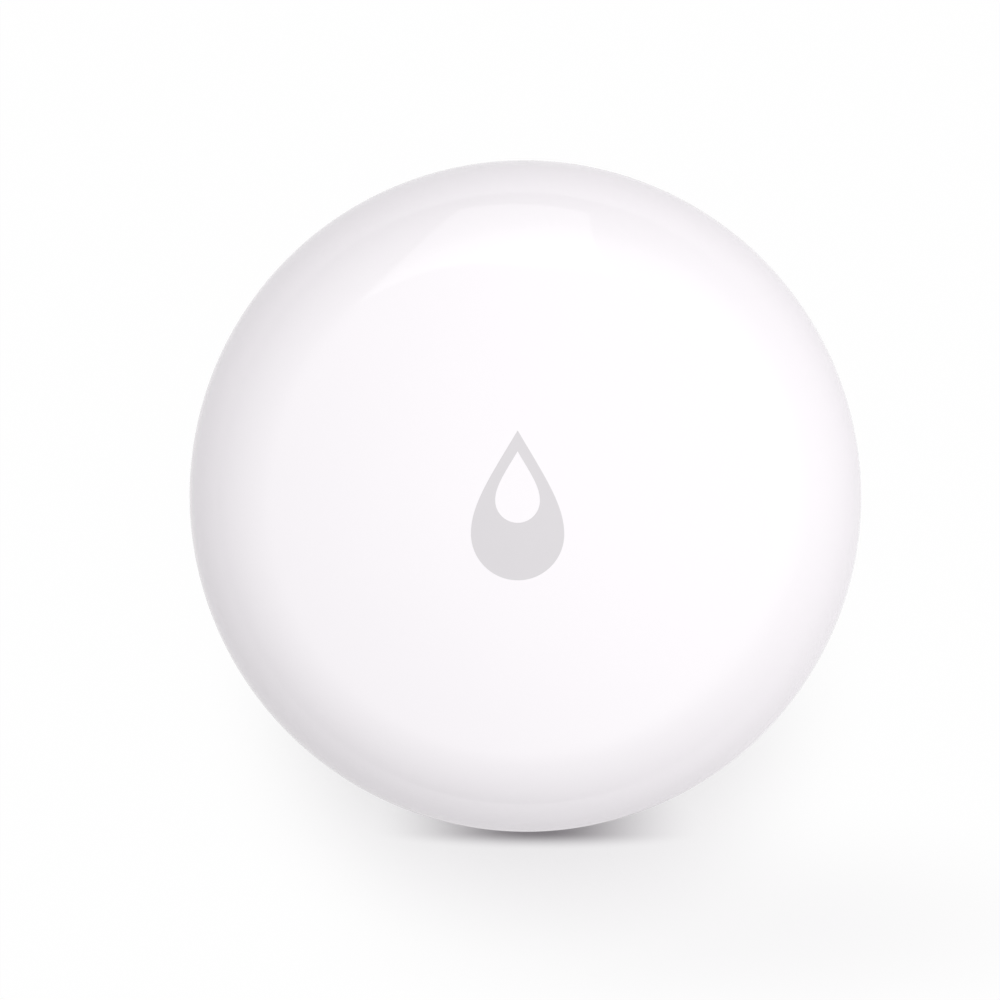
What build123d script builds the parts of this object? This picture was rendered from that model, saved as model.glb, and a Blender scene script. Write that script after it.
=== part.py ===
from build123d import *
import os
from math import atan2, cos, degrees, radians, sin, tan

# A round water leak sensor that lies flat on a floor. Millimetres, +Z up out of the marked
# face, +Y towards the tip of the drop mark, origin on the floor under the middle.

# The case is worked out from the inside: the coin cell and what stands round it give its
# diameter of 50, and what stands below and above the cell gives its height of 15.

# Whole case
wall = 1.4
skirt_wall = 1.7
waist_above_parting = 1.3
edge_rise_share = 0.842
rim_fillet = 0.15
foot_height = 0.5
overrun = 1.0
edge_tolerance = 0.001

# Feet under the base
foot_count = 4
foot_sweep = 30.0
foot_width = 1.3
foot_inset = 0.5
foot_angle = 45.0
foot_fillet = 0.2

# Joint between the top cover and the base
tongue_thickness = 1.5
tongue_height = 2.4
tongue_below_board = 0.6
tongue_clearance = 0.12
gasket_section = 0.9
gasket_clearance = 0.01
gasket_from_top = 0.95
bead_count = 4
bead_angle = 45.0
bead_sweep = 22.0
bead_height = 0.5
bead_reach = 0.3
bead_above_parting = 0.3
bead_clearance = 0.1
shadow_gap = 0.12

# Press area in the middle of the top cover
press_radius = 8.0
flex_width = 2.0
flex_thickness = 0.5
press_travel = 0.3
post_radius = 1.6
post_length = 2.1
hold_down_radius = 1.2
hold_down_gap = 0.1

# Drop mark, a flush inlay in the press area
mark_height = 11.0
mark_width = 6.84
mark_depth = 0.3
mark_eye_height = 5.24
mark_eye_width = 3.28
mark_eye_below_tip = 1.53
mark_tip_pull_share = 1 / 3
mark_side_pull_share = 0.2
mark_tip_half_angle = 30.5

# Battery cover, a threaded disc turned by a coin
collar_wall = 1.4
collar_above_skirt = 0.35
cover_gap = 0.2
cover_recess = 0.3
mouth_chamfer = 0.25
flange_chamfer = 0.2
flange_thickness = 1.2
plate_thickness = 1.6
skirt_inset = 1.3
skirt_thickness = 1.2
thread_lead = 6.0
thread_starts = 3
thread_height = 0.7
thread_clearance = 0.06
thread_side_clearance = 0.15
ledge_sweep = 70.0
lug_sweep = 36.0
thread_step = 5.0
stop_sweep = 3.0
stop_gap_angle = 0.6
seal_clearance = 0.05
ledge_above_seal = 0.1
coin_slot_length = 15.0
coin_slot_width = 1.9
coin_slot_depth = 1.0
coin_slot_chamfer = 0.12
engraving_depth = 0.15
arrow_inset = 0.6
arrow_width = 0.7
arrow_sweep = 26.0
arrow_head = 1.9
arrow_count = 2
arrow_angle = -45.0
index_radius = 0.45
index_inset = 1.0
index_angle = -90.0
turn_open_angle = 75.0

# Probes through the battery cover
probe_from_holder = 1.95
probe_from_skirt = 1.5
probe_head_diameter = 4.4
probe_head_height = 1.0
probe_stand_out = 0.5
probe_head_clearance = 0.1
probe_shank_radius = 1.0
probe_shank_clearance = 0.05
probe_end_above_nut = 0.2
probe_recess_depth = 0.55
probe_recess_length = 2.2
probe_recess_width = 0.5
probe_seal_section = 0.5
nut_radius = 1.35
nut_height = 1.2
nut_chamfer = 0.15
spring_wire = 0.28
spring_radius = 1.0
spring_turns = 4
spring_gap = 0.05

# Coin cell, its holder and its contacts
cell_diameter = 20.0
cell_height = 3.2
cell_cap_inset = 1.1
cell_gasket_width = 0.4
cell_crimp_depth = 0.5
cell_cap_stand = 0.25
cell_edge_fillet = 0.4
pad_radius = 7.0
pad_thickness = 0.9
pad_gap = 0.1
contact_height = 0.6
contact_thickness = 0.15
contact_length = 8.0
contact_width = 2.4
contact_gap = 0.02
holder_clearance = 0.15
holder_wall = 0.9
holder_above_cell_bottom = 0.6
holder_web = 0.5
hook_sweep = 14.0
hook_from_clip = 120.0
hook_thickness = 0.55
hook_reach = 0.7
hook_gap = 0.05
clip_thickness = 0.25
clip_gap = 0.03
clip_sweep = 50.0
clip_angle = 90.0
clip_side_angle = 3.0
clip_foot_length = 1.7
clip_foot_sweep = 8.0

# Circuit board and its screws
board_clearance = 1.0
board_thickness = 1.0
screw_count = 3
screw_angle = 90.0
boss_radius = 1.7
boss_ring_width = 3.28
screw_radius = 0.75
screw_clearance = 0.04
screw_head_radius = 1.35
screw_head_height = 0.7
screw_length = 4.0
screw_recess_depth = 0.35
screw_recess_width = 0.4
pilot_spare = 0.6

# Parts soldered on top of the board
switch_size = 4.6
switch_height = 2.6
switch_pin_width = 0.8
switch_pin_reach = 0.9
switch_pin_thickness = 0.25
switch_pin_spread = 2.6
plunger_radius = 1.1
plunger_stand = 0.7
plunger_depth = 0.5
plunger_clearance = 0.1
led_offset = 3.7
led_length = 1.6
led_width = 0.8
led_height = 0.6
pipe_radius = 0.9
pipe_clearance = 0.05
pipe_above_led = 0.5
chip_size = 6.0
chip_height = 0.9
chip_chamfer = 0.08
chip_place = (-10.5, 3.5)
crystal_length = 3.2
crystal_width = 2.5
crystal_height = 0.75
crystal_place = (-10.5, -3.5)
amplifier_length = 4.9
amplifier_width = 3.9
amplifier_height = 1.4
amplifier_place = (9.5, -6.5)
pin_width = 0.4
pin_reach = 0.9
pin_thickness = 0.2
pin_pitch = 1.27
pin_count = 4
capacitor_length = 1.0
capacitor_width = 0.5
capacitor_height = 0.5
capacitor_pitch = 1.6
capacitor_count = 5
capacitor_rows = 2
capacitor_row_place = (-7.0, -9.0)
bulk_radius = 2.0
bulk_height = 2.8
bulk_place = (8.5, 0.8)
trace_width = 0.6
trace_thickness = 0.1
trace_pitch = 1.4
trace_length = 4.0
trace_turns = 5
trace_place = (0.0, 13.2)
test_pad_radius = 0.6
test_pad_pitch = 2.0
test_pad_count = 4
test_pad_place = (3.5, -13.5)

# A cone is placed by the middle of its foot
on_its_foot = (Align.CENTER, Align.CENTER, Align.MIN)

# Radii that follow from the sizes above, from the cell outwards
cell_radius = cell_diameter / 2
cell_cap_radius = cell_radius - cell_cap_inset
clip_radius = cell_radius + clip_gap
holder_inner_radius = cell_radius + holder_clearance
holder_radius = holder_inner_radius + holder_wall
probe_offset = holder_radius + probe_from_holder
arrow_radius = probe_offset - arrow_inset
skirt_inner_radius = probe_offset + probe_from_skirt
skirt_radius = skirt_inner_radius + skirt_thickness
ledge_inner_radius = skirt_radius + thread_side_clearance
bore_radius = skirt_radius + skirt_inset
flange_radius = bore_radius - cover_gap
lug_radius = bore_radius - thread_side_clearance
ledge_root_radius = bore_radius + collar_wall / 2
collar_radius = bore_radius + collar_wall
boss_circle_radius = collar_radius + boss_ring_width / 2
tongue_inner_radius = collar_radius + boss_ring_width
tongue_radius = tongue_inner_radius + tongue_thickness
seat_radius = tongue_radius + tongue_clearance
board_radius = seat_radius - board_clearance
case_radius = seat_radius + skirt_wall
flex_radius = press_radius + flex_width
seal_section = skirt_inset - 2 * seal_clearance

# Heights above the floor that follow from the sizes above, from the feet up
cover_face_z = foot_height + cover_recess
flange_top_z = cover_face_z + flange_thickness
plate_top_z = cover_face_z + plate_thickness
cell_bottom_z = plate_top_z + pad_thickness + pad_gap
cell_top_z = cell_bottom_z + cell_height
board_bottom_z = cell_top_z + contact_height
board_top_z = board_bottom_z + board_thickness
tongue_top_z = board_bottom_z - tongue_below_board
parting_height = tongue_top_z - tongue_height
waist_height = parting_height + waist_above_parting
plunger_top_z = board_top_z + switch_height + plunger_stand
case_height = plunger_top_z + post_length + wall
ledge_low_z = flange_top_z + seal_section + 2 * seal_clearance + ledge_above_seal
lug_low_z = ledge_low_z + thread_height + thread_clearance
lug_top_z = lug_low_z + thread_lead * ledge_sweep / 360 + thread_height
collar_top_z = lug_top_z + collar_above_skirt
probe_head_z = cover_face_z - probe_stand_out
probe_seat_z = probe_head_z + probe_head_height
nut_top_z = plate_top_z + nut_height
probe_end_z = nut_top_z + probe_end_above_nut

# The edge is rounded tighter below the waist than above it, where it runs without a corner
# into the slightly domed face, which is part of a sphere
lower_edge_radius = waist_height - foot_height
lower_edge_middle = case_radius - lower_edge_radius
face_rise = case_height - waist_height
upper_edge_radius = face_rise * edge_rise_share
upper_edge_middle = case_radius - upper_edge_radius
face_reach = upper_edge_middle**2 + face_rise**2 - upper_edge_radius**2
face_curve = face_reach / (2 * (face_rise - upper_edge_radius))
face_middle_z = case_height - face_curve
face_edge_angle = degrees(atan2(waist_height - face_middle_z, upper_edge_middle))


def disc(radius, bottom, top):
    return Pos(0, 0, bottom) * extrude(Circle(radius), amount=top - bottom)


def ring(inner, outer, bottom, top):
    return Pos(0, 0, bottom) * extrude(Circle(outer) - Circle(inner), amount=top - bottom)


def block(length, width, bottom, top, place=(0, 0)):
    return Pos(*place, bottom) * extrude(Rectangle(length, width), amount=top - bottom)


def sector(inner, outer, bottom, top, middle_angle, sweep):
    """A piece of a ring, as long as sweep degrees about middle_angle."""
    section = Pos((inner + outer) / 2, (bottom + top) / 2) * Rectangle(outer - inner, top - bottom)
    return Rot(0, 0, middle_angle - sweep / 2) * revolve(Plane.XZ * section, Axis.Z, sweep)


def o_ring(middle_radius, section, middle_z):
    return Pos(0, 0, middle_z) * Torus(middle_radius, section / 2)


def rim(shape, z):
    """The widest round edge of a shape at height z."""
    level = shape.edges().filter_by_position(Axis.Z, z - edge_tolerance, z + edge_tolerance)
    return level.filter_by(GeomType.CIRCLE).sort_by(SortBy.RADIUS)[-1]


def on_level(edge, z):
    """Whether an edge lies flat at height z."""
    ends = (edge @ 0, edge @ 0.5, edge @ 1)
    return all(abs(end.Z - z) < edge_tolerance for end in ends)


def in_coin_slot(edge):
    """Whether the middle of an edge is at the coin slot, seen from below."""
    middle = edge @ 0.5
    beside = abs(middle.X) < coin_slot_width / 2 + edge_tolerance
    return beside and abs(middle.Y) < coin_slot_length / 2 + edge_tolerance


def around(count, start=0):
    """Angles of count places, evenly spaced."""
    return [start + 360 * k / count for k in range(count)]


def case_solid(depth=0):
    """The whole outside of the case without its feet, moved in by depth all round."""
    bottom = foot_height + depth
    lines = [
        Line((0, bottom), (lower_edge_middle, bottom)),
        CenterArc((lower_edge_middle, waist_height), lower_edge_radius - depth, -90, 90),
        CenterArc((upper_edge_middle, waist_height), upper_edge_radius - depth, 0, face_edge_angle),
        CenterArc((0, face_middle_z), face_curve - depth, face_edge_angle, 90 - face_edge_angle),
        Line((0, case_height - depth), (0, bottom)),
    ]
    return revolve(Plane.XZ * make_face(lines), Axis.Z)


def cover_cavity():
    """The space inside the top cover: a straight seat for the base, then a dome."""
    seat = disc(seat_radius, parting_height - overrun, waist_height)
    return seat + (case_solid(wall) & disc(seat_radius, waist_height, case_height))


def helical_rib(inner, outer, start_angle, sweep, start_z):
    """A thread segment of thread_height that climbs by thread_lead a turn."""
    margin = outer * (1 / cos(radians(thread_step)) - 1)
    steps = max(2, round(sweep / thread_step))
    section = Pos((inner + outer) / 2, thread_height / 2)
    section = Plane.XZ * section * Rectangle(outer - inner + 2 * margin, thread_height)
    faces = []
    for k in range(steps + 1):
        turn = sweep * k / steps
        climb = Pos(0, 0, start_z + thread_lead * turn / 360)
        faces.append(Rot(0, 0, start_angle + turn) * climb * section)
    rise = thread_lead * sweep / 360
    return loft(faces, ruled=True) & ring(inner, outer, start_z, start_z + rise + thread_height)


def drop_face(height, width, tip_y):
    """A drop outline: a half round bulb drawn up into a pointed tip."""
    bulb = width / 2
    middle_y = tip_y - height + bulb
    pull_x = height * mark_tip_pull_share * sin(radians(mark_tip_half_angle))
    pull_y = tip_y - height * mark_tip_pull_share * cos(radians(mark_tip_half_angle))
    side_y = middle_y + height * mark_side_pull_share
    right = Bezier((0, tip_y), (pull_x, pull_y), (bulb, side_y), (bulb, middle_y))
    left = Bezier((-bulb, middle_y), (-bulb, side_y), (-pull_x, pull_y), (0, tip_y))
    bottom = ThreePointArc((bulb, middle_y), (0, tip_y - height), (-bulb, middle_y))
    return make_face([right, bottom, left])


def screw_places():
    return [Rot(0, 0, a) * Pos(boss_circle_radius, 0, 0) for a in around(screw_count, screw_angle)]


def hold_down_places():
    """Halfway between the screws."""
    angles = around(screw_count, screw_angle + 180 / screw_count)
    return [Rot(0, 0, a) * Pos(boss_circle_radius, 0, 0) for a in angles]


def probe_places():
    return [Pos(probe_offset, 0, 0), Pos(-probe_offset, 0, 0)]


def mark_recess():
    """The space that the inlay fills, which runs on above the face."""
    tip_y = mark_height / 2
    eye_tip_y = tip_y - mark_eye_below_tip
    face = drop_face(mark_height, mark_width, tip_y)
    face -= drop_face(mark_eye_height, mark_eye_width, eye_tip_y)
    column = Pos(0, 0, waist_height) * extrude(face, amount=face_rise + overrun)
    return column - case_solid(mark_depth)


def drop_mark():
    return mark_recess() & case_solid()


def light_pipe():
    """A clear rod from just over the indicator light to the underside of the mark."""
    bottom = board_top_z + led_height + pipe_above_led
    rod = Pos(0, -led_offset, 0) * disc(pipe_radius, bottom, case_height)
    return rod & case_solid(mark_depth)


def press_face():
    """The middle of the top cover, which gives under a finger, with the post on its inside."""
    face = (case_solid() - case_solid(wall)) & disc(press_radius, waist_height, case_height + overrun)
    post = disc(post_radius, plunger_top_z, case_height - wall / 2)
    pipe_hole = Pos(0, -led_offset, 0) * disc(pipe_radius + pipe_clearance, waist_height, case_height)
    return face + post - mark_recess() - pipe_hole


def flex_ring():
    """The thinned web that lets the press area move."""
    column = ring(press_radius, flex_radius, waist_height, case_height + overrun)
    return column & case_solid() - case_solid(flex_thickness)


def top_cover():
    cover = case_solid() & disc(case_radius + overrun, parting_height, case_height + overrun)
    cover = fillet(rim(cover, parting_height), rim_fillet) - cover_cavity()
    cover -= disc(flex_radius, waist_height, case_height + overrun)
    groove_bottom = parting_height + bead_above_parting - bead_clearance
    groove_top = groove_bottom + bead_height + 2 * bead_clearance
    cover -= ring(
        seat_radius - overrun,
        tongue_radius + bead_reach + bead_clearance,
        groove_bottom,
        groove_top,
    )
    for place in hold_down_places():
        post = place * disc(hold_down_radius, board_top_z + hold_down_gap, case_height)
        cover += post & case_solid(wall / 2)
    return cover


def base_shell():
    """The lower half: outer bowl, sealing tongue, threaded collar, screw bosses and feet."""
    outer = case_solid()
    base = outer & disc(case_radius + overrun, foot_height, parting_height - shadow_gap)
    base = fillet(rim(base, parting_height - shadow_gap), rim_fillet)
    base -= case_solid(wall) & disc(tongue_inner_radius, foot_height, case_height)
    base += ring(tongue_inner_radius, tongue_radius, foot_height, tongue_top_z) & outer
    base += ring(bore_radius, collar_radius, foot_height, collar_top_z)
    boss_floor_z = foot_height + wall / 2
    for place in screw_places():
        base += place * disc(boss_radius, boss_floor_z, board_bottom_z)
    base -= disc(bore_radius, foot_height - overrun, collar_top_z + overrun)
    mouth = Cone(bore_radius + mouth_chamfer, bore_radius, mouth_chamfer, align=on_its_foot)
    base -= Pos(0, 0, foot_height) * mouth
    for place in screw_places():
        pilot = disc(
            screw_radius + screw_clearance,
            board_top_z - screw_length - pilot_spare,
            board_bottom_z + overrun,
        )
        base -= place * pilot
    gasket_z = tongue_top_z - gasket_from_top
    base -= ring(
        tongue_radius - gasket_section + tongue_clearance,
        seat_radius + overrun,
        gasket_z - gasket_section / 2,
        gasket_z + gasket_section / 2,
    )
    bead_bottom = parting_height + bead_above_parting
    for angle in around(bead_count, bead_angle):
        base += sector(
            tongue_radius - bead_reach,
            tongue_radius + bead_reach,
            bead_bottom,
            bead_bottom + bead_height,
            angle,
            bead_sweep,
        )
    for angle in around(thread_starts):
        base += helical_rib(ledge_inner_radius, ledge_root_radius, angle, ledge_sweep, ledge_low_z)
        base += sector(
            ledge_inner_radius,
            ledge_root_radius,
            ledge_low_z + thread_lead * ledge_sweep / 360,
            lug_top_z,
            angle + ledge_sweep + stop_gap_angle + stop_sweep / 2,
            stop_sweep,
        )
    foot_inner = bore_radius + foot_inset
    for angle in around(foot_count, foot_angle):
        foot = sector(foot_inner, foot_inner + foot_width, 0, foot_height + wall / 2, angle, foot_sweep)
        base += fillet(foot.faces().sort_by(Axis.Z)[0].edges(), foot_fillet)
    for angle in (index_angle, index_angle - turn_open_angle):
        dot = Pos(bore_radius + index_inset, 0, 0) * disc(index_radius, 0, foot_height + engraving_depth)
        base -= Rot(0, 0, angle) * dot
    return base


def case_gasket():
    """An O-ring in the tongue's groove, against the cover's seat."""
    section = gasket_section - 2 * gasket_clearance
    middle_radius = seat_radius - gasket_section / 2
    return o_ring(middle_radius, section, tongue_top_z - gasket_from_top)


def turn_arrow():
    """A curved arrow with its head at the opening end, as a flat face."""
    band = Circle(arrow_radius + arrow_width / 2) - Circle(arrow_radius - arrow_width / 2)
    reach = arrow_radius * 2
    spread = reach * tan(radians(arrow_sweep / 2))
    wedge = Polygon((0, 0), (reach, -spread), (reach, spread), align=None)
    head = Polygon((0, arrow_head / 2), (0, -arrow_head / 2), (arrow_head, 0), align=None)
    head = Rot(0, 0, -arrow_sweep / 2) * Pos(arrow_radius, 0) * Rot(0, 0, -90) * head
    return (band & wedge) + head


def battery_cover():
    """The coin-turned cover: flange, plate, skirt and three thread lugs."""
    cover = disc(flange_radius, cover_face_z, flange_top_z)
    cover = chamfer(rim(cover, cover_face_z), flange_chamfer)
    cover += disc(skirt_radius, cover_face_z, plate_top_z)
    cover += ring(skirt_inner_radius, skirt_radius, cover_face_z, lug_top_z)
    for angle in around(thread_starts):
        start = angle + ledge_sweep - lug_sweep
        start_z = lug_low_z + thread_lead * (ledge_sweep - lug_sweep) / 360
        cover += helical_rib(skirt_radius - skirt_thickness / 2, lug_radius, start, lug_sweep, start_z)
    coin_radius = (coin_slot_length**2 / 4 + coin_slot_depth**2) / (2 * coin_slot_depth)
    coin = Rot(0, 90, 0) * Cylinder(coin_radius, coin_slot_width)
    cover -= Pos(0, 0, cover_face_z + coin_slot_depth - coin_radius) * coin
    mouth = [edge for edge in cover.edges() if on_level(edge, cover_face_z)]
    cover = chamfer([edge for edge in mouth if in_coin_slot(edge)], coin_slot_chamfer)
    engraving_top_z = cover_face_z + engraving_depth
    for angle in around(arrow_count, arrow_angle):
        arrow = Rot(0, 0, angle) * turn_arrow()
        cover -= Pos(0, 0, foot_height) * extrude(arrow, amount=engraving_top_z - foot_height)
    dot = Pos(flange_radius - index_inset, 0, 0) * disc(index_radius, foot_height, engraving_top_z)
    cover -= Rot(0, 0, index_angle) * dot
    head_pocket = probe_head_diameter / 2 + probe_head_clearance
    shank_hole = probe_shank_radius + probe_shank_clearance
    seal_pocket = shank_hole + probe_seal_section
    for place in probe_places():
        cover -= place * disc(head_pocket, foot_height, probe_seat_z)
        cover -= place * disc(seal_pocket, foot_height, probe_seat_z + probe_seal_section)
        cover -= place * disc(shank_hole, foot_height, plate_top_z + overrun)
    return cover


def cover_seal():
    """The O-ring round the cover's skirt, between its flange and its lugs."""
    middle_radius = (skirt_radius + bore_radius) / 2
    return o_ring(middle_radius, seal_section, flange_top_z + seal_clearance + seal_section / 2)


def probe():
    """A pan head screw with a cross recess, its head standing out of the cover."""
    head = disc(probe_head_diameter / 2, probe_head_z, probe_seat_z)
    head = fillet(rim(head, probe_head_z), probe_stand_out / 2)
    shank = disc(probe_shank_radius, probe_seat_z, probe_end_z)
    recess_top_z = probe_head_z + probe_recess_depth
    cross = block(probe_recess_length, probe_recess_width, probe_head_z - overrun, recess_top_z)
    return head + shank - cross - Rot(0, 0, 90) * cross


def probe_screws():
    return [place * probe() for place in probe_places()]


def probe_seals():
    middle_radius = probe_shank_radius + probe_shank_clearance / 2 + probe_seal_section / 2
    section = probe_seal_section - 2 * seal_clearance
    middle_z = probe_seat_z + probe_seal_section / 2
    return [place * o_ring(middle_radius, section, middle_z) for place in probe_places()]


def probe_nuts():
    inner = probe_shank_radius + probe_shank_clearance / 2
    nut = ring(inner, nut_radius, plate_top_z, nut_top_z)
    nut = chamfer(rim(nut, nut_top_z), nut_chamfer)
    return [place * nut for place in probe_places()]


def probe_spring():
    """A coil spring under the board that presses on a probe's inner end."""
    bottom = probe_end_z + spring_gap + spring_wire / 2
    height = board_bottom_z - spring_wire / 2 - bottom
    line = Helix(height / spring_turns, height, spring_radius)
    section = Plane(line @ 0, z_dir=line % 0) * Circle(spring_wire / 2)
    return Pos(0, 0, bottom) * sweep(section, path=line, is_frenet=True)


def probe_springs():
    return [place * probe_spring() for place in probe_places()]


def cell_pad():
    return disc(pad_radius, plate_top_z, plate_top_z + pad_thickness)


def coin_cell():
    """A round can with its flat face down, and the smaller cap set in its top."""
    can_top_z = cell_top_z - cell_cap_stand
    pocket_z = can_top_z - cell_crimp_depth
    can = disc(cell_radius, cell_bottom_z, can_top_z)
    can = fillet(can.edges().filter_by(GeomType.CIRCLE), cell_edge_fillet)
    can -= disc(cell_cap_radius + cell_gasket_width, pocket_z, can_top_z + overrun)
    cap = disc(cell_cap_radius, pocket_z, cell_top_z)
    cap = fillet(cap.edges().filter_by(GeomType.CIRCLE).sort_by(Axis.Z)[-1], cell_cap_stand / 2)
    return [can, cap]


def cell_gasket():
    can_top_z = cell_top_z - cell_cap_stand
    outer = cell_cap_radius + cell_gasket_width
    return ring(cell_cap_radius, outer, can_top_z - cell_crimp_depth, can_top_z)


def cell_holder():
    """A ring under the board round the cell, open for the clip, with two hooks under the cell."""
    bottom = cell_bottom_z + holder_above_cell_bottom
    holder = ring(holder_inner_radius, holder_radius, bottom, board_bottom_z)
    holder -= sector(
        holder_inner_radius - overrun,
        holder_radius + overrun,
        bottom - overrun,
        board_bottom_z + overrun,
        clip_angle,
        clip_sweep + 2 * clip_side_angle,
    )
    hook_bottom = cell_bottom_z - hook_gap - hook_thickness
    web_top = bottom + holder_web
    for angle in (clip_angle - hook_from_clip, clip_angle + hook_from_clip):
        holder += sector(holder_inner_radius, holder_radius, hook_bottom, web_top, angle, hook_sweep)
        holder += sector(
            holder_inner_radius - hook_reach,
            holder_inner_radius + holder_wall / 2,
            hook_bottom,
            hook_bottom + hook_thickness,
            angle,
            hook_sweep,
        )
    return holder


def cell_clip():
    """The positive contact: a sprung band against the cell's side, with two soldered feet."""
    bottom = cell_bottom_z + holder_above_cell_bottom
    back = clip_radius + clip_thickness
    clip = sector(clip_radius, back, bottom, board_bottom_z, clip_angle, clip_sweep)
    to_foot = (clip_sweep - clip_foot_sweep) / 2
    for angle in (clip_angle - to_foot, clip_angle + to_foot):
        clip += sector(
            clip_radius,
            clip_radius + clip_foot_length,
            board_bottom_z - clip_thickness,
            board_bottom_z,
            angle,
            clip_foot_sweep,
        )
    return clip


def cell_contact():
    """The negative contact: a bowed strip between the board and the cell's cap."""
    top = board_bottom_z
    low = cell_top_z + contact_gap
    half = contact_length / 2
    thick = contact_thickness
    lines = [
        ThreePointArc((-half, top - thick), (0, low), (half, top - thick)),
        Line((half, top - thick), (half, top)),
        ThreePointArc((half, top), (0, low + thick), (-half, top)),
        Line((-half, top), (-half, top - thick)),
    ]
    return extrude(Plane.XZ * make_face(lines), amount=contact_width / 2, both=True)


def circuit_board():
    board = disc(board_radius, board_bottom_z, board_top_z)
    for place in screw_places():
        radius = screw_radius + 2 * screw_clearance
        board -= place * disc(radius, board_bottom_z - overrun, board_top_z + overrun)
    return board


def board_screw():
    """A pan head self-tapping screw through the board into a boss."""
    head_top_z = board_top_z + screw_head_height
    screw = disc(screw_head_radius, board_top_z, head_top_z)
    screw += disc(screw_radius, board_top_z - screw_length, board_top_z)
    recess_z = head_top_z - screw_recess_depth
    recess = block(screw_head_radius, screw_recess_width, recess_z, head_top_z + overrun)
    return screw - recess - Rot(0, 0, 90) * recess


def board_screws():
    return [place * board_screw() for place in screw_places()]


def switch_body():
    top = board_top_z + switch_height
    body = block(switch_size, switch_size, board_top_z, top)
    bore_depth = plunger_depth + press_travel + plunger_clearance
    return body - disc(plunger_radius + plunger_clearance, top - bore_depth, top + overrun)


def switch_terminals():
    pins = []
    middle = switch_size / 2 + switch_pin_reach / 2
    for side in (-1, 1):
        for offset in (-switch_pin_spread / 2, switch_pin_spread / 2):
            place = (side * middle, offset)
            top = board_top_z + switch_pin_thickness
            pins.append(block(switch_pin_reach, switch_pin_width, board_top_z, top, place))
    return pins


def switch_plunger():
    bottom = plunger_top_z - plunger_stand - plunger_depth
    return disc(plunger_radius, bottom, plunger_top_z)


def indicator_led():
    return block(led_length, led_width, board_top_z, board_top_z + led_height, (0, -led_offset))


def radio_chip():
    chip = block(chip_size, chip_size, board_top_z, board_top_z + chip_height, chip_place)
    return chamfer(chip.faces().sort_by(Axis.Z)[-1].edges(), chip_chamfer)


def crystal():
    top = board_top_z + crystal_height
    return block(crystal_length, crystal_width, board_top_z, top, crystal_place)


def sense_amplifier():
    top = board_top_z + amplifier_height
    return block(amplifier_length, amplifier_width, board_top_z + pin_thickness, top, amplifier_place)


def amplifier_pins():
    """Two rows of leads, half under the amplifier's body and half outside it."""
    pins = []
    top = board_top_z + pin_thickness
    first = -pin_pitch * (pin_count - 1) / 2
    for side in (-1, 1):
        y = amplifier_place[1] + side * amplifier_width / 2
        for k in range(pin_count):
            place = (amplifier_place[0] + first + pin_pitch * k, y)
            pins.append(block(pin_width, 2 * pin_reach, board_top_z, top, place))
    return pins


def bulk_capacitor():
    return Pos(*bulk_place, 0) * disc(bulk_radius, board_top_z, board_top_z + bulk_height)


def chip_capacitors():
    """Rows of small ceramic blocks."""
    blocks = []
    top = board_top_z + capacitor_height
    for row in range(capacitor_rows):
        y = capacitor_row_place[1] - capacitor_pitch * row
        for k in range(capacitor_count):
            x = capacitor_row_place[0] + capacitor_pitch * k
            blocks.append(block(capacitor_width, capacitor_length, board_top_z, top, (x, y)))
    return blocks


def antenna_trace():
    """A raised copper meander near the board's edge."""
    top = board_top_z + trace_thickness
    first = trace_place[0] - trace_pitch * trace_turns
    trace = None
    for k in range(2 * trace_turns + 1):
        x = first + trace_pitch * k
        bar = block(trace_width, trace_length, board_top_z, top, (x, trace_place[1]))
        trace = bar if trace is None else trace + bar
        if k < 2 * trace_turns:
            side = 1 if k % 2 == 0 else -1
            place = (x + trace_pitch / 2, trace_place[1] + side * (trace_length - trace_width) / 2)
            trace += block(trace_pitch + trace_width, trace_width, board_top_z, top, place)
    return trace


def test_pads():
    pads = []
    for k in range(test_pad_count):
        place = Pos(test_pad_place[0] + test_pad_pitch * k, test_pad_place[1], 0)
        pads.append(place * disc(test_pad_radius, board_top_z, board_top_z + trace_thickness))
    return pads


pieces = {
    "top_cover": top_cover,
    "flex_ring": flex_ring,
    "press_face": press_face,
    "drop_mark": drop_mark,
    "light_pipe": light_pipe,
    "base_shell": base_shell,
    "case_gasket": case_gasket,
    "battery_cover": battery_cover,
    "cover_seal": cover_seal,
    "probe_screws": probe_screws,
    "probe_seals": probe_seals,
    "probe_nuts": probe_nuts,
    "probe_springs": probe_springs,
    "cell_pad": cell_pad,
    "coin_cell": coin_cell,
    "cell_gasket": cell_gasket,
    "cell_holder": cell_holder,
    "cell_clip": cell_clip,
    "cell_contact": cell_contact,
    "circuit_board": circuit_board,
    "board_screws": board_screws,
    "switch_body": switch_body,
    "switch_terminals": switch_terminals,
    "switch_plunger": switch_plunger,
    "indicator_led": indicator_led,
    "radio_chip": radio_chip,
    "crystal": crystal,
    "sense_amplifier": sense_amplifier,
    "amplifier_pins": amplifier_pins,
    "bulk_capacitor": bulk_capacitor,
    "chip_capacitors": chip_capacitors,
    "antenna_trace": antenna_trace,
    "test_pads": test_pads,
}

os.makedirs("parts", exist_ok=True)
for name, make in pieces.items():
    made = make()
    solids = made if isinstance(made, list) else [made]
    found = [solid for shape in solids for solid in shape.solids()]
    shape = Compound(children=found) if len(found) > 1 else found[0]
    export_step(shape, f"parts/{name}.step")
    print(name, len(found), round(shape.volume, 2))
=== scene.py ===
from math import acos, asin, atan2, cos, pi, radians, sin, sqrt, tan

import bmesh
import bpy
from mathutils import Matrix, Vector


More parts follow.
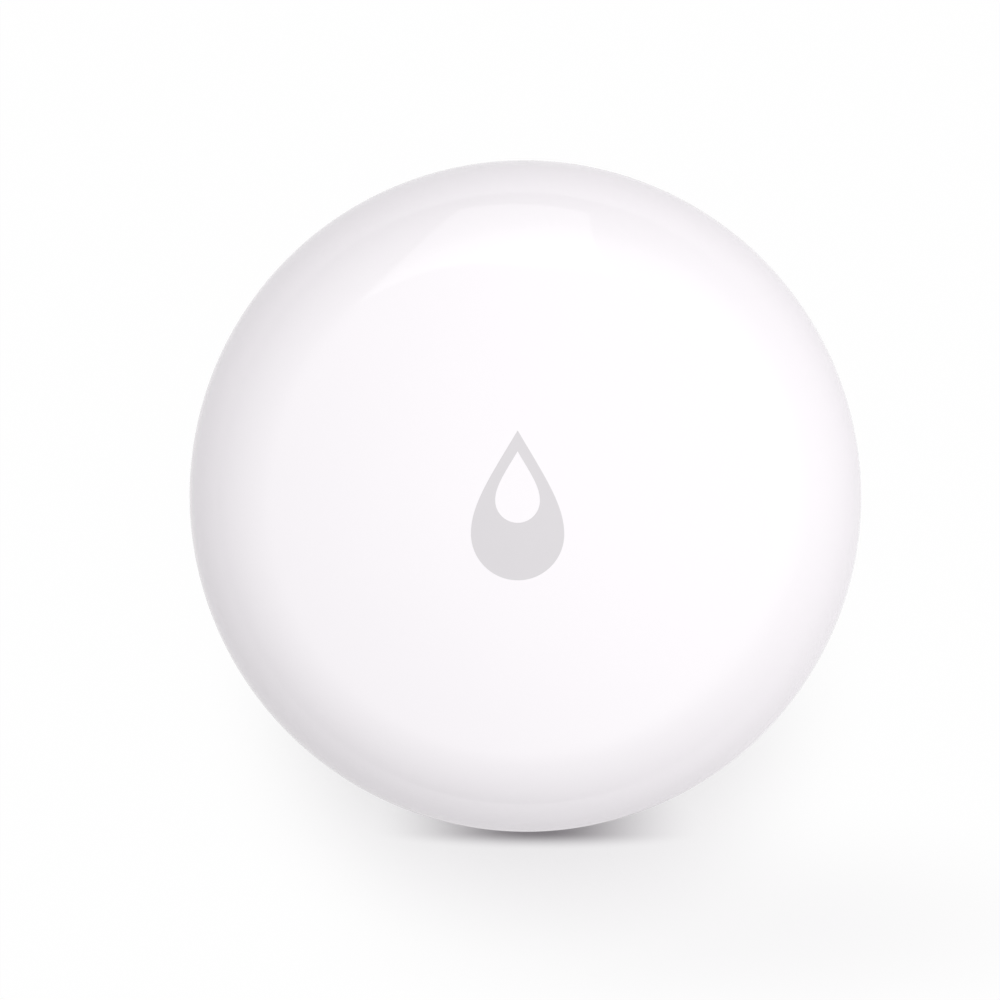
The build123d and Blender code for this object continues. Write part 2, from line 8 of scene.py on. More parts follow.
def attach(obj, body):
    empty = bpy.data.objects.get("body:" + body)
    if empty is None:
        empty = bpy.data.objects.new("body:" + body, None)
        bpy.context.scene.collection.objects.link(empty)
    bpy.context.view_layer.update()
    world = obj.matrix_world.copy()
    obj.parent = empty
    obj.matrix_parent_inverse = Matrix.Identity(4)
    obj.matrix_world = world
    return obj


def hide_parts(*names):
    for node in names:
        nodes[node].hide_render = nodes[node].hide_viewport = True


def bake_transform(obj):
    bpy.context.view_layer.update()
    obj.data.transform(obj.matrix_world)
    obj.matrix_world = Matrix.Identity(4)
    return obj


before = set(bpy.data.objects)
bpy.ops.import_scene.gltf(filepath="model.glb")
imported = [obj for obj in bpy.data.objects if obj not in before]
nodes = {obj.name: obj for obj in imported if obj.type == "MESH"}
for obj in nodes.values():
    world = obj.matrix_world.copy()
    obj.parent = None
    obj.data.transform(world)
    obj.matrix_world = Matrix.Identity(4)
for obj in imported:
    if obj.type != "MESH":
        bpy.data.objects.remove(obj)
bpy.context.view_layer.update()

mm = 0.001
print("frame loaded:", len(nodes), "nodes")


# A value in a shader. Each operator adds one Math node.
class Flow:
    def __init__(self, finish, socket):
        self.finish = finish
        self.socket = socket

    def reckon(self, operation, *values):
        return self.finish.node("ShaderNodeMath", {"operation": operation}, dict(enumerate(values)))

    def __add__(self, other):
        return self.reckon("ADD", self, other)

    def __sub__(self, other):
        return self.reckon("SUBTRACT", self, other)

    def __rsub__(self, other):
        return self.reckon("SUBTRACT", other, self)

    def __mul__(self, other):
        return self.reckon("MULTIPLY", self, other)

    def __pow__(self, other):
        return self.reckon("POWER", self, other)

    def __abs__(self):
        return self.reckon("ABSOLUTE", self)

    __radd__ = __add__
    __rmul__ = __mul__


# A node tree that is filled from an empty start
class Finish:
    def __init__(self, owner):
        owner.use_nodes = True
        self.owner = owner
        self.tree = owner.node_tree
        self.tree.nodes.clear()

    def node(self, kind, settings=None, sockets=None, output=0):
        made = self.tree.nodes.new(kind)
        for name, value in (settings or {}).items():
            setattr(made, name, value)
        for name, value in (sockets or {}).items():
            if isinstance(value, Flow):
                self.tree.links.new(value.socket, made.inputs[name])
            else:
                made.inputs[name].default_value = value
        return Flow(self, made.outputs[output]) if made.outputs else made

    # Object coordinates in millimetres, moved so that middle is at zero
    def place(self, middle=(0, 0, 0)):
        start = self.node("ShaderNodeTexCoord", output="Object")
        return self.node("ShaderNodeMapping", {"vector_type": "POINT"}, {
            "Vector": start,
            "Location": tuple(-1 * value for value in middle),
            "Scale": (1 / mm, 1 / mm, 1 / mm),
        })

    def axes(self, vector):
        made = self.node("ShaderNodeSeparateXYZ", sockets={"Vector": vector}).socket.node
        return [Flow(self, output) for output in made.outputs]

    # How far a point lies from the middle, seen from above
    def outward(self, x, y):
        flat = self.node("ShaderNodeCombineXYZ", {}, {"X": x, "Y": y, "Z": 0.0})
        return self.node("ShaderNodeVectorMath", {"operation": "LENGTH"}, {0: flat}, output="Value")

    def noise(self, place, size, detail=3.0, rough=0.5):
        return self.node("ShaderNodeTexNoise", {"noise_dimensions": "3D"}, {
            "Vector": place,
            "Scale": 1 / size,
            "Detail": detail,
            "Roughness": rough,
        }, output="Fac")

    # 0 below low, 1 above high, smooth between
    def step(self, value, low, high):
        return self.node("ShaderNodeMapRange", {"interpolation_type": "SMOOTHSTEP"}, {
            "Value": value,
            "From Min": low,
            "From Max": high,
        })

    def between(self, value, low, high):
        return self.node("ShaderNodeMapRange", {}, {"Value": value, "To Min": low, "To Max": high})

    def mix(self, share, first, second):
        sockets = {0: share}
        for place, colour in ((6, first), (7, second)):
            sockets[place] = colour if isinstance(colour, Flow) else (*colour, 1)
        return self.node("ShaderNodeMix", {"data_type": "RGBA", "clamp_factor": True}, sockets, output=2)

    def bump(self, height, depth):
        return self.node("ShaderNodeBump", {}, {"Height": height, "Distance": depth * mm})

    def surface(self, **sockets):
        names = {
            "colour": "Base Color",
            "rough": "Roughness",
            "metal": "Metallic",
            "normal": "Normal",
            "clear": "Transmission Weight",
            "index": "IOR",
            "gloss": "Specular IOR Level",
        }
        values = {names[name]: value for name, value in sockets.items()}
        shader = self.node("ShaderNodeBsdfPrincipled", {}, values)
        self.node("ShaderNodeOutputMaterial", {}, {"Surface": shader})
        return self.owner


def newFinish(name):
    return Finish(bpy.data.materials.new(name))


# Moulded plastic: a slight drift of colour and gloss, and the grain of the mould
def moulded(name, look):
    finish = newFinish(name)
    place = finish.place()
    drift = finish.noise(place, look["driftSize"])
    grain = finish.noise(place, look["grainSize"], detail=2.0)
    return finish.surface(
        colour=finish.mix(drift, look["colour"], look["otherColour"]),
        rough=finish.between(grain * 0.5 + drift * 0.5, *look["rough"]),
        normal=finish.bump(grain, look["grainDepth"]),
    )


whiteGloss = moulded("whiteGloss", {
    "colour": (0.928, 0.900, 0.928),
    "otherColour": (0.938, 0.910, 0.938),
    "driftSize": 14.0,
    "rough": (0.03, 0.05),
    "grainSize": 1.6,
    "grainDepth": 0.0008,
})

markLook = {
    "colour": (0.677, 0.654, 0.677),
    "otherColour": (0.689, 0.666, 0.689),
    "driftSize": 3.0,
    "rough": (0.2, 0.26),
    "grainSize": 0.12,
    "grainDepth": 0.0004,
}
markGrey = moulded("markGrey", markLook)


# The base is gloss outside and has a fine spark-eroded grain underneath
shellLook = {
    "colour": (0.915, 0.888, 0.915),
    "otherColour": (0.925, 0.898, 0.925),
    "driftSize": 12.0,
    "grainSize": 0.16,
    "grainDepth": 0.012,
    "glossRough": (0.12, 0.16),
    "satinRough": (0.40, 0.50),
    "lineHeight": 0.62,
    "lineSoft": 0.06,
}


def shellFinish(name, look, glossAbove=True):
    finish = newFinish(name)
    place = finish.place()
    drift = finish.noise(place, look["driftSize"])
    height = finish.noise(place, look["grainSize"])
    rough = finish.between(height, *look["satinRough"])
    if glossAbove:
        up = finish.axes(place)[2]
        satin = 1 - finish.step(up, look["lineHeight"], look["lineHeight"] + look["lineSoft"])
        rough = satin * rough + (1 - satin) * finish.between(drift, *look["glossRough"])
        height = height * satin
    return finish.surface(
        colour=finish.mix(drift, look["colour"], look["otherColour"]),
        rough=rough,
        normal=finish.bump(height, look["grainDepth"]),
    )


baseWhite = shellFinish("baseWhite", shellLook)
coverWhite = shellFinish("coverWhite", shellLook, glossAbove=False)

blackPlastic = moulded("blackPlastic", {
    "colour": (0.035, 0.035, 0.038),
    "otherColour": (0.05, 0.05, 0.054),
    "driftSize": 6.0,
    "rough": (0.38, 0.55),
    "grainSize": 0.1,
    "grainDepth": 0.006,
})
greyPlastic = moulded("greyPlastic", {
    "colour": (0.45, 0.45, 0.47),
    "otherColour": (0.5, 0.5, 0.52),
    "driftSize": 5.0,
    "rough": (0.32, 0.44),
    "grainSize": 0.12,
    "grainDepth": 0.003,
})
sealRubber = moulded("sealRubber", {
    "colour": (0.09, 0.09, 0.095),
    "otherColour": (0.14, 0.14, 0.145),
    "driftSize": 2.0,
    "rough": (0.5, 0.68),
    "grainSize": 0.08,
    "grainDepth": 0.004,
})
ledWhite = moulded("ledWhite", {
    "colour": (0.93, 0.92, 0.78),
    "otherColour": (0.95, 0.93, 0.66),
    "driftSize": 0.8,
    "rough": (0.15, 0.25),
    "grainSize": 0.1,
    "grainDepth": 0.001,
})
capacitorTan = moulded("capacitorTan", {
    "colour": (0.42, 0.3, 0.19),
    "otherColour": (0.5, 0.37, 0.24),
    "driftSize": 0.6,
    "rough": (0.35, 0.5),
    "grainSize": 0.05,
    "grainDepth": 0.002,
})


# Closed-cell foam: small open bubbles at the cut face, their middles painted darker as painted shade in the
# hollows
def foamFinish(look):
    finish = newFinish("foam")
    place = finish.place()
    cells = finish.node("ShaderNodeTexVoronoi", {"feature": "F1"}, {
        "Vector": place,
        "Scale": 1 / look["cellSize"],
    }, output="Distance")
    hollow = finish.step(cells, *look["bubble"])
    return finish.surface(
        # painted shade: the middle of each bubble takes the darker colour
        colour=finish.mix(hollow, look["bubbleShade"], look["colour"]),
        rough=finish.between(hollow, *look["rough"]),
        normal=finish.bump(hollow, look["depth"]),
        gloss=look["gloss"],
    )


foam = foamFinish({
    "cellSize": 0.35,
    "bubble": (0.1, 0.7),
    "rough": (0.95, 0.8),
    "gloss": 0.2,
    "depth": 0.06,
    "colour": (0.09, 0.09, 0.095),
    "bubbleShade": (0.02, 0.02, 0.022),
})


# Metal turned or rolled: fine rings round a middle, in gloss and height
turnedMarks = {
    "rise": 0.6,
    "detail": 4.0,
    "rough": 0.65,
    "wearShare": 0.4,
}


def metal(name, look):
    finish = newFinish(name)
    place = finish.place(look.get("middle", (0, 0, 0)))
    x, y, z = finish.axes(place)
    if "spread" in look:
        x = abs(x) - look["spread"]
    rings = finish.outward(x, y)
    lines = finish.node("ShaderNodeCombineXYZ", {}, {"X": rings, "Y": z * turnedMarks["rise"], "Z": 0.0})
    turned = finish.noise(lines, look["lineSize"], turnedMarks["detail"], turnedMarks["rough"])
    wear = finish.noise(place, look["wearSize"], turnedMarks["detail"])
    share = turnedMarks["wearShare"]
    return finish.surface(
        colour=finish.mix(wear, look["colour"], look["otherColour"]),
        metal=1.0,
        rough=finish.between(turned * (1 - share) + wear * share, *look["rough"]),
        normal=finish.bump(turned, look["depth"]),
    )


probeSteel = metal("probeSteel", {
    "spread": 13.0,
    "colour": (0.60, 0.59, 0.58),
    "otherColour": (0.68, 0.67, 0.66),
    "wearSize": 1.2,
    "lineSize": 0.09,
    "rough": (0.16, 0.36),
    "depth": 0.003,
})
smallSteel = metal("smallSteel", {
    "colour": (0.58, 0.58, 0.57),
    "otherColour": (0.66, 0.66, 0.65),
    "wearSize": 0.8,
    "lineSize": 0.08,
    "rough": (0.18, 0.36),
    "depth": 0.002,
})
cellSteel = metal("cellSteel", {
    "colour": (0.66, 0.65, 0.62),
    "otherColour": (0.73, 0.72, 0.69),
    "wearSize": 5.0,
    "lineSize": 0.12,
    "rough": (0.16, 0.3),
    "depth": 0.003,
})
brass = metal("brass", {
    "spread": 13.0,
    "colour": (0.72, 0.5, 0.22),
    "otherColour": (0.8, 0.6, 0.3),
    "wearSize": 0.8,
    "lineSize": 0.07,
    "rough": (0.2, 0.38),
    "depth": 0.002,
})
goldCopper = metal("goldCopper", {
    "middle": (3.0, 30.0, 0),
    "colour": (0.83, 0.6, 0.24),
    "otherColour": (0.88, 0.68, 0.34),
    "wearSize": 1.0,
    "lineSize": 0.2,
    "rough": (0.2, 0.34),
    "depth": 0.002,
})
capacitorCan = metal("capacitorCan", {
    "middle": (8.5, 0.8, 0),
    "colour": (0.7, 0.7, 0.71),
    "otherColour": (0.76, 0.76, 0.77),
    "wearSize": 1.5,
    "lineSize": 0.1,
    "rough": (0.2, 0.34),
    "depth": 0.003,
})


# Green solder mask over copper, with the bare glass fibre at the cut edge
def boardFinish(look):
    finish = newFinish("boardGreen")
    place = finish.place()
    x, y = finish.axes(place)[:2]
    out = finish.outward(x, y)
    tracks = finish.node("ShaderNodeTexBrick", {"offset": 0.5, "squash": 1.0}, {
        "Vector": place,
        "Color1": (0, 0, 0, 1),
        "Color2": (0, 0, 0, 1),
        "Mortar": (1, 1, 1, 1),
        "Scale": 1.0,
        "Mortar Size": look["trackWidth"],
        "Mortar Smooth": look["trackSoft"],
        "Brick Width": look["trackLength"],
        "Row Height": look["trackPitch"],
    }, output="Color")
    copper = finish.axes(tracks)[0]
    pour = finish.step(finish.noise(place, look["pourSize"], detail=1.0), *look["pourEdge"])
    raised = copper * (1 - pour) + pour
    mask = finish.mix(raised, look["mask"], look["maskOnCopper"])
    edge = finish.step(out, *look["cutEdge"])
    weave = finish.noise(place, look["weaveSize"])
    fibre = finish.mix(weave, look["fibre"], look["fibreDark"])
    return finish.surface(
        colour=finish.mix(edge, mask, fibre),
        rough=finish.between(weave, *look["rough"]) + edge * look["edgeRough"],
        normal=finish.bump(raised * (1 - edge) + weave * look["weaveRise"], look["depth"]),
    )


boardGreen = boardFinish({
    "mask": (0.012, 0.13, 0.06),
    "maskOnCopper": (0.03, 0.2, 0.09),
    "fibre": (0.62, 0.6, 0.4),
    "fibreDark": (0.5, 0.5, 0.3),
    "cutEdge": (22.27, 22.29),
    "trackWidth": 0.11,
    "trackSoft": 0.3,
    "trackLength": 2.6,
    "trackPitch": 0.9,
    "pourSize": 5.0,
    "pourEdge": (0.52, 0.56),
    "weaveSize": 0.3,
    "weaveRise": 0.05,
    "rough": (0.22, 0.34),
    "edgeRough": 0.4,
    "depth": 0.03,
})


# Clear moulded plastic with a little flow in it
def clearFinish(look):
    finish = newFinish("clearPipe")
    place = finish.place()
    flow = finish.noise(place, look["flowSize"])
    return finish.surface(
        colour=finish.mix(flow, look["colour"], look["otherColour"]),
        rough=finish.between(flow, *look["rough"]),
        clear=look["clear"],
        index=look["index"],
        normal=finish.bump(flow, look["depth"]),
    )


clearPipe = clearFinish({
    "colour": (0.93, 0.95, 0.96),
    "otherColour": (0.97, 0.98, 0.99),
    "flowSize": 0.8,
    "rough": (0.03, 0.1),
    "clear": 0.9,
    "index": 1.49,
    "depth": 0.002,
})

nodeFinishes = {
    "top_cover": whiteGloss,
    "flex_ring": whiteGloss,
    "press_face": whiteGloss,
    "drop_mark": markGrey,
    "light_pipe": clearPipe,
    "base_shell": baseWhite,
    "case_gasket": sealRubber,
    "battery_cover": coverWhite,
    "cover_seal": sealRubber,
    "probe_screws": probeSteel,
    "probe_seals": sealRubber,
    "probe_nuts": brass,
    "probe_springs": smallSteel,
    "cell_pad": foam,
    "coin_cell": cellSteel,
    "cell_gasket": greyPlastic,
    "cell_holder": blackPlastic,
    "cell_clip": smallSteel,
    "cell_contact": smallSteel,
    "circuit_board": boardGreen,
    "board_screws": smallSteel,
    "switch_body": blackPlastic,
    "switch_terminals": smallSteel,
    "switch_plunger": greyPlastic,
    "indicator_led": ledWhite,
    "radio_chip": blackPlastic,
    "crystal": smallSteel,
    "sense_amplifier": blackPlastic,
    "amplifier_pins": smallSteel,
    "bulk_capacitor": capacitorCan,
    "chip_capacitors": capacitorTan,
    "antenna_trace": goldCopper,
    "test_pads": goldCopper,
}
for name, finish in nodeFinishes.items():
    for slot in nodes[name].material_slots:
        slot.material = finish
print("finishes given to", len(nodeFinishes), "nodes")


# Draws a section in the XZ plane in millimetres, stroke by stroke
class Section:
    def __init__(self, across, up):
        self.bm = bmesh.new()
        self.end = bmesh.ops.create_vert(self.bm, co=(across * mm, 0, up * mm))["vert"][0]

    def line(self, across, up):
        self.end = bmesh.ops.extrude_vert_indiv(self.bm, verts=[self.end])["verts"][0]
        self.end.co = (across * mm, 0, up * mm)

    # Turns the end point about a middle, outwards and down for a positive turn
    def arc(self, middle, turn, steps):
        made = bmesh.ops.spin(
            self.bm,
            geom=[self.end],
            cent=(middle[0] * mm, 0, middle[1] * mm),
            axis=(0, 1, 0),
            angle=turn,
            steps=steps,
        )
        self.end = [part for part in made["geom_last"] if isinstance(part, bmesh.types.BMVert)][0]

    # Turns the section once round the Z axis and closes it
    def turned(self, segments):
        bmesh.ops.spin(
            self.bm,
            geom=self.bm.verts[:] + self.bm.edges[:],
            cent=(0, 0, 0),
            axis=(0, 0, 1),
            angle=2 * pi,
            steps=segments,
            use_merge=True,
        )
        return self.bm


# Doubles nearer than merge (in metres) are joined, and edges past sharp (in degrees) stay crisp
meshing = {
    "merge": 1e-7,
    "sharp": 32.0,
}


def finishedPiece(name, bm, finish):
    bmesh.ops.remove_doubles(bm, verts=bm.verts, dist=meshing["merge"])
    bmesh.ops.recalc_face_normals(bm, faces=bm.faces)
    for face in bm.faces:
        face.smooth = True
    for edge in bm.edges:
        if len(edge.link_faces) == 2 and edge.calc_face_angle() > radians(meshing["sharp"]):
            edge.smooth = False
    mesh = bpy.data.meshes.new(name)
    bm.to_mesh(mesh)
    bm.free()
    mesh.materials.append(finish)
    piece = bpy.data.objects.new(name, mesh)
    bpy.context.scene.collection.objects.link(piece)
    return piece


# The cover's skin, one surface from the rim over the press area
case = {
    "radius": 25.0,
    "height": 15.0,
    "waist": 5.5,
    "upperEdge": 7.999,
    "lowerEdge": 5.0,
    "parting": 4.2,
    "rimFillet": 0.15,
    "wall": 1.4,
    "seat": 23.3,
    "grooveRadius": 23.58,
    "grooveHeights": (4.4, 5.1),
    "press": 8.0,
    "flex": 10.0,
    "flexThickness": 0.5,
    "bendInset": 0.5,
    "faceRings": ((7.5, 18), (10.5, 20)),
    "faceSteps": 22,
    "shoulderSteps": 40,
    "lowerSteps": 6,
    "filletSteps": 5,
    "underSteps": 14,
    "webSteps": 10,
    "pressSteps": 8,
    "segments": 240,
}
upperMiddle = case["radius"] - case["upperEdge"]
lowerMiddle = case["radius"] - case["lowerEdge"]
rise = case["height"] - case["waist"]
faceCurve = (upperMiddle**2 + rise**2 - case["upperEdge"] ** 2) / (2 * (rise - case["upperEdge"]))
faceMiddle = case["height"] - faceCurve
faceEdge = atan2(case["waist"] - faceMiddle, upperMiddle)


def domeAngle(radius, curve):
    return asin(radius / curve)


def domeHeight(radius, depth=0.0):
    return faceMiddle + sqrt((faceCurve - depth) ** 2 - radius**2)


def coverSkin():
    upper = (upperMiddle, case["waist"])
    lower = (lowerMiddle, case["waist"])
    dome = (0, faceMiddle)
    section = Section(0, case["height"])
    reached = 0.0
    for radius, steps in case["faceRings"]:
        angle = domeAngle(radius, faceCurve)
        section.arc(dome, angle - reached, steps)
        reached = angle
    section.arc(dome, pi / 2 - faceEdge - reached, case["faceSteps"])
    section.arc(upper, faceEdge, case["shoulderSteps"])
    filletUp = case["parting"] + case["rimFillet"]
    filletReach = case["lowerEdge"] - case["rimFillet"]
    filletAngle = asin((case["waist"] - filletUp) / filletReach)
    section.arc(lower, filletAngle, case["lowerSteps"])
    filletMiddle = (lowerMiddle + filletReach * cos(filletAngle), filletUp)
    section.arc(filletMiddle, pi / 2 - filletAngle, case["filletSteps"])

    section.line(case["seat"], case["parting"])
    low, high = case["grooveHeights"]
    section.line(case["seat"], low)
    section.line(case["grooveRadius"], low)
    section.line(case["grooveRadius"], high)
    section.line(case["seat"], high)
    inside = case["upperEdge"] - case["wall"]
    seatAngle = acos((case["seat"] - upperMiddle) / inside)
    section.line(case["seat"], case["waist"] + inside * sin(seatAngle))
    section.arc(upper, seatAngle - faceEdge, case["underSteps"])
    under = faceCurve - case["wall"]
    web = faceCurve - case["flexThickness"]
    section.arc(dome, domeAngle(case["flex"], under) - (pi / 2 - faceEdge), case["underSteps"])
    section.line(case["flex"], domeHeight(case["flex"], case["flexThickness"]))
    section.arc(dome, domeAngle(case["press"], web) - domeAngle(case["flex"], web), case["webSteps"])
    section.line(case["press"], domeHeight(case["press"], case["wall"]))
    section.arc(dome, -domeAngle(case["press"], under), case["pressSteps"])
    section.end.co.x = 0
    piece = finishedPiece("coverSkin", section.turned(case["segments"]), whiteGloss)
    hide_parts("top_cover", "flex_ring", "press_face")
    domeHeight(case["flex"]) * mm
    domeHeight(case["press"] - case["bendInset"]) * mm
    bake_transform(piece)
    return piece


# The post under the press area and the three posts that hold the board down
posts = {
    "pressRadius": 1.6,
    "pressBottom": 11.5,
    "pressRound": 0.2,
    "holdRadius": 1.2,
    "holdCircle": 20.04,
    "holdBottom": 8.3,
    "holdTop": 12.1,
    "holdRound": 0.12,
    "holdAngles": (30, 150, 270),
    "roundSteps": 4,
    "segments": 40,
}


def roundPost(radius, bottom, top, edge):
    section = Section(0, bottom)
    section.line(radius - edge, bottom)
    section.arc((radius - edge, bottom + edge), -pi / 2, posts["roundSteps"])
    section.line(radius, top)
    section.line(0, top)
    return section.turned(posts["segments"])


def pressPost():
    top = case["height"] - case["wall"] / 2
    bm = roundPost(posts["pressRadius"], posts["pressBottom"], top, posts["pressRound"])
    piece = finishedPiece("pressPost", bm, whiteGloss)
    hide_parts("press_face")
    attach(piece, "button")


def holdDownPosts():
    both = bmesh.new()
    for angle in posts["holdAngles"]:
        bm = roundPost(posts["holdRadius"], posts["holdBottom"], posts["holdTop"], posts["holdRound"])
        turn = Matrix.Rotation(radians(angle), 4, "Z")
        outwards = Matrix.Translation((posts["holdCircle"] * mm, 0, 0))
        bmesh.ops.transform(bm, matrix=turn @ outwards, verts=bm.verts)
        mesh = bpy.data.meshes.new("post")
        bm.to_mesh(mesh)
        bm.free()
        both.from_mesh(mesh)
        bpy.data.meshes.remove(mesh)
    piece = finishedPiece("holdDownPosts", both, whiteGloss)
    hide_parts("top_cover")
    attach(piece, "case")


# The grey drop, laid into the face
drop = {
    "height": 11.0,
    "width": 6.84,
    "eyeHeight": 5.24,
    "eyeWidth": 3.28,
    "eyeBelowTip": 1.53,
    "tipPull": 1 / 3,
    "sidePull": 0.2,
    "roundPull": 0.5523,
    "tipHalfAngle": 30.5,
    "proud": 0.006,
    "depth": 0.15,
    "grid": 0.4,
    "gridShift": 0.013,
    "gridSnap": 1e-6,
    "resolution": 48,
}


def addDropOutline(curve, height, width, tip):
    bulb = width / 2
    middle = tip - height + bulb
    pull = height * drop["tipPull"]
    pullAcross = pull * sin(radians(drop["tipHalfAngle"]))
    pullDown = tip - pull * cos(radians(drop["tipHalfAngle"]))
    roundPull = bulb * drop["roundPull"]
    points = [
        ((0, tip), (-pullAcross, pullDown), (pullAcross, pullDown)),
        ((bulb, middle), (bulb, middle + height * drop["sidePull"]), (bulb, middle - roundPull)),
        ((0, middle - bulb), (roundPull, middle - bulb), (-roundPull, middle - bulb)),
        ((-bulb, middle), (-bulb, middle - roundPull), (-bulb, middle + height * drop["sidePull"])),
    ]
    spline = curve.splines.new("BEZIER")
    spline.bezier_points.add(len(points) - 1)
    spline.use_cyclic_u = True
    for point, (middlePoint, before, after) in zip(spline.bezier_points, points):
        point.handle_left_type = point.handle_right_type = "FREE"
        point.co = (middlePoint[0] * mm, middlePoint[1] * mm, 0)
        point.handle_left = (before[0] * mm, before[1] * mm, 0)
        point.handle_right = (after[0] * mm, after[1] * mm, 0)


def flatDrop():
    curve = bpy.data.curves.new("dropOutline", "CURVE")
    curve.dimensions = "2D"
    curve.fill_mode = "BOTH"
    curve.resolution_u = drop["resolution"]
    tip = drop["height"] / 2
    addDropOutline(curve, drop["height"], drop["width"], tip)
    addDropOutline(curve, drop["eyeHeight"], drop["eyeWidth"], tip - drop["eyeBelowTip"])
    holder = bpy.data.objects.new("dropOutline", curve)
    bpy.context.scene.collection.objects.link(holder)
    bpy.context.view_layer.update()
    mesh = bpy.data.meshes.new_from_object(holder.evaluated_get(bpy.context.evaluated_depsgraph_get()))
    bpy.data.objects.remove(holder)
    bpy.data.curves.remove(curve)
    bm = bmesh.new()
    bm.from_mesh(mesh)
    bpy.data.meshes.remove(mesh)
    bmesh.ops.remove_doubles(bm, verts=bm.verts, dist=meshing["merge"])
    return bm


def dropInlay():
    bm = flatDrop()
    reach = drop["height"] / 2
    cuts = int(reach / drop["grid"])
    for normal in ((1, 0, 0), (0, 1, 0)):
        for step in range(-cuts, cuts + 1):
            bmesh.ops.bisect_plane(
                bm,
                geom=bm.verts[:] + bm.edges[:] + bm.faces[:],
                plane_co=Vector(normal) * (step * drop["grid"] + drop["gridShift"]) * mm,
                plane_no=normal,
                dist=drop["gridSnap"],
            )
    for vert in bm.verts:
        vert.co.z = (domeHeight(vert.co.xy.length / mm) + drop["proud"]) * mm
    made = bmesh.ops.extrude_face_region(bm, geom=bm.faces[:])
    top = [part for part in made["geom"] if isinstance(part, bmesh.types.BMVert)]
    bmesh.ops.translate(bm, verts=top, vec=(0, 0, -drop["depth"] * mm))
    piece = finishedPiece("dropInlay", bm, markGrey)
    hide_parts("drop_mark")
    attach(piece, "button")


coverSkin()
pressPost()
holdDownPosts()
dropInlay()
print("cover skin, posts and drop made")

# Stage: a grey floor that shows white, with painted shadows where the white gives way to the grey paper:
# soft ovals, a band round the lower rim and a disc under the case
stage = {
    "floorSize": 6.0,
    "floorDrop": 0.01,
    "floorColour": (0.61, 0.58, 0.61),
    "floorGlow": 0.99,
    # painted shadow band round the lower rim
    "shadowRadius": 25.2,
    "shadowAcross": (0.5, 11.0),
    "shadowAlong": (9.0, 26.0),
    "shadowFront": (5.0, 20.0),
    "shadowDepth": 0.31,
    # painted contact shadow: the paper in the contact oval is painted this darker colour
    "paintedShadowColour": (0.31, 0.295, 0.31),
    "contactMiddle": (0.6, -25.7),
    "contactReach": (12.6, 1.35, 8.0),
    # a wide painted shadow to the lower right
    "wideMiddle": (15.0, -32.5),
    "wideReach": (36.0, 10.0, 10.0),
    "wideDepth": 0.16,
    # painted shade under the case, round its feet
    "underAcross": (18.5, 24.8),
    "underDepth": 0.85,
    "ovalCore": 0.05,
}
# World: a large soft light overhead, brighter towards the sides
sky = {
    "level": 0.555,
    "sides": 0.33,
    "slant": (0.14, -0.04),
    "overhead": 1.20,
    "tilt": (16.7, 6.3),
    "reach": 51.4,
    "power": 0.9,
}


def towards(tilt):
    return Vector((tan(radians(tilt[0])), tan(radians(tilt[1])), 1)).normalized()


def makeFloor():
    bm = bmesh.new()
    bmesh.ops.create_grid(bm, x_segments=1, y_segments=1, size=stage["floorSize"] / 2)
    mesh = bpy.data.meshes.new("floor")
    bm.to_mesh(mesh)
    bm.free()
    finish = newFinish("floorWhite")
    path = finish.node("ShaderNodeLightPath").socket.node
    seen = Flow(finish, path.outputs["Is Camera Ray"]) + Flow(finish, path.outputs["Is Glossy Ray"])
    seen = seen + Flow(finish, path.outputs["Is Transmission Ray"])
    place = finish.place()
    x, y = finish.axes(place)[:2]
    out = finish.outward(x, y)

    # A painted shadow band round the lower rim, on the front side only
    def paintedRimShadow():
        near = 1 - finish.step(out - stage["shadowRadius"], *stage["shadowAcross"])
        along = 1 - finish.step(abs(x - stage["contactMiddle"][0]), *stage["shadowAlong"])
        return near * along * finish.step(0 - y, *stage["shadowFront"])

    # An oval on the floor, 1 in the middle and 0 at its edge, with its reach across, below and above
    def oval(middle, reach):
        offX = (x - middle[0]) * (1 / reach[0])
        offY = y - middle[1]
        offY = offY.reckon("MAXIMUM", offY * (1 / reach[2]), offY * (-1 / reach[1]))
        return 1 - finish.step(finish.outward(offX, offY), stage["ovalCore"], 1.0)

    # Painted shadows: each mask lowers the white glow so that the grey paper shows with the real shadow on
    # it, darker than white even where unshadowed; the contact oval also paints the paper darker
    contact = oval(stage["contactMiddle"], stage["contactReach"])
    shadow = paintedRimShadow() * stage["shadowDepth"]
    paintedWideShadow = oval(stage["wideMiddle"], stage["wideReach"]) * stage["wideDepth"]
    # painted shade under the case
    under = (1 - finish.step(out, *stage["underAcross"])) * stage["underDepth"]
    level = stage["floorGlow"] * (1 - shadow) * (1 - paintedWideShadow) * (1 - contact) * (1 - under)
    colour = finish.mix(contact, stage["floorColour"], stage["paintedShadowColour"])
    paper = finish.node("ShaderNodeBsdfDiffuse", {}, {"Color": colour})
    glow = finish.node("ShaderNodeEmission", {}, {"Color": (1, 1, 1, 1), "Strength": 1.0})
    share = finish.node("ShaderNodeMath", {"operation": "MULTIPLY", "use_clamp": True}, {0: seen, 1: level})
    shader = finish.node("ShaderNodeMixShader", {}, {0: share, 1: paper, 2: glow})
    finish.node("ShaderNodeOutputMaterial", {}, {"Surface": shader})
    mesh.materials.append(finish.owner)
    floor = bpy.data.objects.new("floor", mesh)
    floor.location.z = -stage["floorDrop"] * mm
    bpy.context.scene.collection.objects.link(floor)


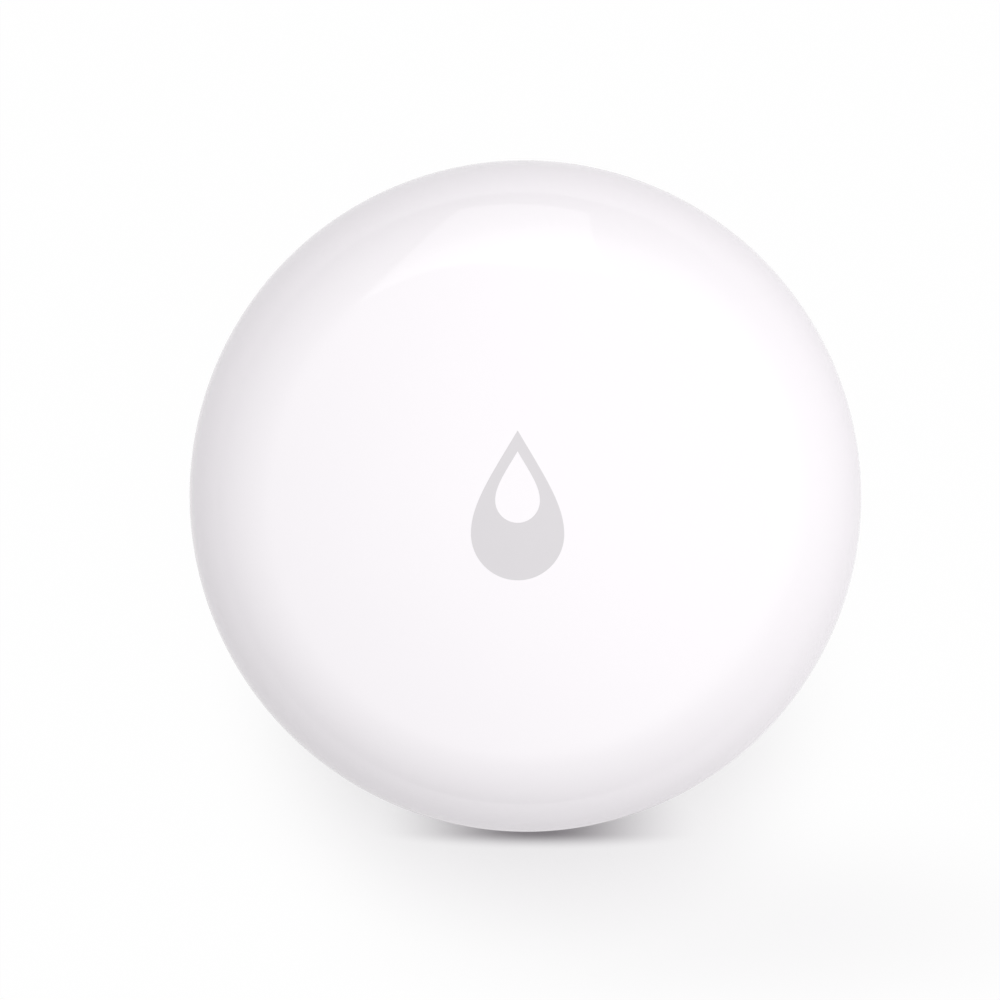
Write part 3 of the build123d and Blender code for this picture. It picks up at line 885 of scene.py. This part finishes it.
def makeWorld():
    world = bpy.data.worlds.new("studio")
    bpy.context.scene.world = world
    finish = Finish(world)
    path = finish.node("ShaderNodeLightPath").socket.node
    seen = Flow(finish, path.outputs["Is Camera Ray"])
    sight = finish.node("ShaderNodeTexCoord", output="Generated")
    along = finish.node("ShaderNodeVectorMath", {"operation": "DOT_PRODUCT"}, {
        0: sight,
        1: towards(sky["tilt"]),
    }, output="Value")
    lobe = finish.step(along, cos(radians(sky["reach"])), 1.0) ** sky["power"]
    x, y = finish.axes(sight)[:2]
    level = sky["level"] + (x * x - y * y) * sky["sides"] + lobe * sky["overhead"]
    level = level + x * sky["slant"][0] + y * sky["slant"][1]
    level = level * (1 - seen) + seen
    light = finish.node("ShaderNodeBackground", {}, {"Color": (1, 1, 1, 1), "Strength": level})
    finish.node("ShaderNodeOutputWorld", {}, {"Surface": light})


# Lamps: where each stands, seen from the object, its size and its radiance
lamps = {
    "topSoftbox": {"tilt": (-8.0, 46.0), "far": 0.8, "size": (0.42, 0.85), "radiance": 0.86},
}


# Looks back along away, with the drop's tip upwards in the picture
def facing(away):
    right = Vector((0, 1, 0)).cross(away).normalized()
    return Matrix((right, away.cross(right), away)).transposed().to_euler()


def makeLamps():
    for name, look in lamps.items():
        light = bpy.data.lights.new(name, "AREA")
        light.shape = "RECTANGLE"
        light.size, light.size_y = look["size"]
        light.energy = look["radiance"] * pi * light.size * light.size_y
        lamp = bpy.data.objects.new(name, light)
        away = towards(look["tilt"])
        lamp.location = away * look["far"]
        lamp.rotation_euler = facing(away)
        bpy.context.scene.collection.objects.link(lamp)


# The camera looks down on the face, a little from the right and from the drop's tip
view = {
    "tilt": (3.4, 3.95),
    "far": 0.6,
    "lens": 291.0,
    "sensor": 36.0,
    "nearClip": 0.01,
    "aim": (-1.79, -0.19, 6.5),
}


def makeCamera():
    data = bpy.data.cameras.new("camera")
    data.lens = view["lens"]
    data.sensor_width = view["sensor"]
    data.clip_start = view["nearClip"]
    camera = bpy.data.objects.new("camera", data)
    away = towards(view["tilt"])
    camera.location = Vector(view["aim"]) * mm + away * view["far"]
    camera.rotation_euler = facing(away)
    bpy.context.scene.collection.objects.link(camera)
    bpy.context.scene.camera = camera


makeFloor()
makeWorld()
makeLamps()
makeCamera()
bpy.context.scene.view_settings.view_transform = "Standard"
print("stage, lamps and camera set")
